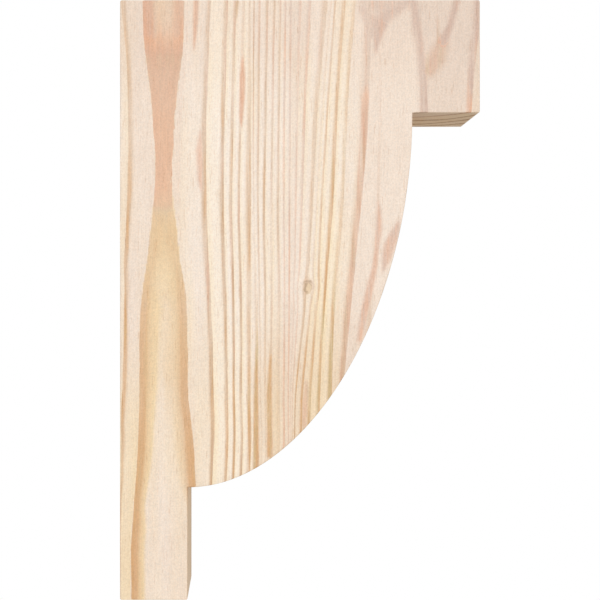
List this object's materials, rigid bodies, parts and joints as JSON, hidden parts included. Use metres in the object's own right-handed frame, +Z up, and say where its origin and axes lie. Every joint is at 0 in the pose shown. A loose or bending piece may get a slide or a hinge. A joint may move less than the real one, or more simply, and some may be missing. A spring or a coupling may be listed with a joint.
{
  "type": "wooden corbel bracket",
  "caption": "Solid timber corbel bracket: a straight wall leg, a square ledge on top and one bellied curve sawn between them, in pale sanded softwood.",
  "frame": {"origin": "middle of the flat wall face, where the bracket is fastened", "axes": "+X points out from the wall along the ledge, +Y runs through the thickness, +Z points up to the ledge's top face"},
  "size_m": [0.3048, 0.0888, 0.508],
  "materials": {
    "timber": "bare sanded softwood, matt, with tan and pinkish late-wood lines"
  },
  "bodies": {
    "root": {"corbel": "timber"}
  },
  "joints": []
}
